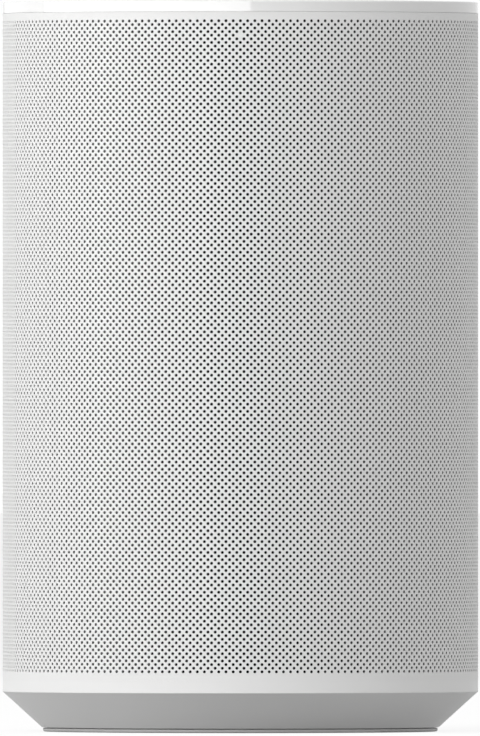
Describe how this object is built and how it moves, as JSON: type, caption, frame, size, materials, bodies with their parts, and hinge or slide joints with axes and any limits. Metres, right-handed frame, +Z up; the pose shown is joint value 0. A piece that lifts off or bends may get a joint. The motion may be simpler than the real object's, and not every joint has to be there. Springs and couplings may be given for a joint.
{
  "type": "smart speaker",
  "caption": "Upright rounded smart speaker with a perforated wrap-round grille, chamfered base, touch top, rear ports, a woofer and two angled tweeters inside.",
  "frame": {"origin": "centre of the foot underside, on the surface the speaker stands on", "axes": "+Z up, -Y is the front of the speaker, +X to the right as seen from the front"},
  "size_m": [0.119, 0.1306, 0.1825],
  "materials": {
    "white_plastic": "satin",
    "cap_plastic": "gloss",
    "grille_paint": "matte",
    "black_plastic": "matte",
    "inlet_plastic": "satin",
    "silicone": "matte",
    "brass": "satin",
    "steel": "satin",
    "tinned_steel": "polished",
    "cast_aluminium": "matte",
    "foam": "matte",
    "surround_rubber": "matte",
    "spider_cloth": "matte",
    "cone_paper": "matte",
    "dome_silk": "matte",
    "copper": "satin",
    "ferrite": "matte",
    "circuit_board": "satin",
    "capacitor_sleeve": "satin",
    "lens": "gloss"
  },
  "bodies": {
    "housing": {"foot_pad": "silicone", "base_shell": "white_plastic", "threaded_inserts": "brass", "base_screws": "steel", "grille": "grille_paint", "grille_frame": "black_plastic", "front_baffle": "black_plastic", "enclosure_gasket": "foam", "rear_cabinet": "black_plastic", "chamber_screws": "steel", "woofer_basket": "cast_aluminium", "woofer_gasket": "foam", "woofer_screws": "steel", "woofer_surround": "surround_rubber", "woofer_spider": "spider_cloth", "woofer_magnet": "ferrite", "woofer_front_plate": "steel", "woofer_yoke": "steel", "left_waveguide": "black_plastic", "right_waveguide": "black_plastic", "left_tweeter_motor": "steel", "right_tweeter_motor": "steel", "tweeter_screws": "steel", "main_board": "circuit_board", "heat_sink": "cast_aluminium", "shield_can": "tinned_steel", "power_board": "circuit_board", "transformer": "ferrite", "capacitors": "capacitor_sleeve", "antennas": "circuit_board", "rear_panel": "white_plastic", "button_spring": "steel", "button_switch": "black_plastic", "switch_body": "black_plastic", "io_board": "circuit_board", "usb_shell": "tinned_steel", "usb_tongue": "black_plastic", "ac_inlet": "inlet_plastic", "inlet_pins": "tinned_steel", "board_screws": "steel", "top_frame": "black_plastic", "top_screws": "steel", "touch_board": "circuit_board", "microphones": "tinned_steel", "top_cap": "cap_plastic", "status_lens": "lens"},
    "cone_body": {"woofer_cone": "cone_paper", "voice_coil": "copper"},
    "left_dome_body": {"left_tweeter_dome": "dome_silk"},
    "right_dome_body": {"right_tweeter_dome": "dome_silk"},
    "button_body": {"pairing_button": "white_plastic"},
    "switch_slide_body": {"mic_switch": "white_plastic"}
  },
  "joints": [
    {"name": "woofer_travel", "type": "slide", "parent": "housing", "child": "cone_body", "axis": [0, -1, 0], "range_m": [-0.004, 0.004], "stiffness_N_per_m": 1200, "deforming": ["woofer_surround", "woofer_spider"]},
    {"name": "left_dome_travel", "type": "slide", "parent": "housing", "child": "left_dome_body", "axis": [-0.6428, -0.766, 0], "range_m": [-0.0003, 0.0003], "stiffness_N_per_m": 2500},
    {"name": "right_dome_travel", "type": "slide", "parent": "housing", "child": "right_dome_body", "axis": [0.6428, -0.766, 0], "range_m": [-0.0003, 0.0003], "stiffness_N_per_m": 2500},
    {"name": "pairing_button_press", "type": "slide", "parent": "housing", "child": "button_body", "axis": [0, -1, 0], "range_m": [0, 0.0006], "stiffness_N_per_m": 1500, "springref_m": -0.0005, "deforming": ["button_spring"]},
    {"name": "mic_switch_slide", "type": "slide", "parent": "housing", "child": "switch_slide_body", "axis": [1, 0, 0], "range_m": [0, 0.003]}
  ]
}
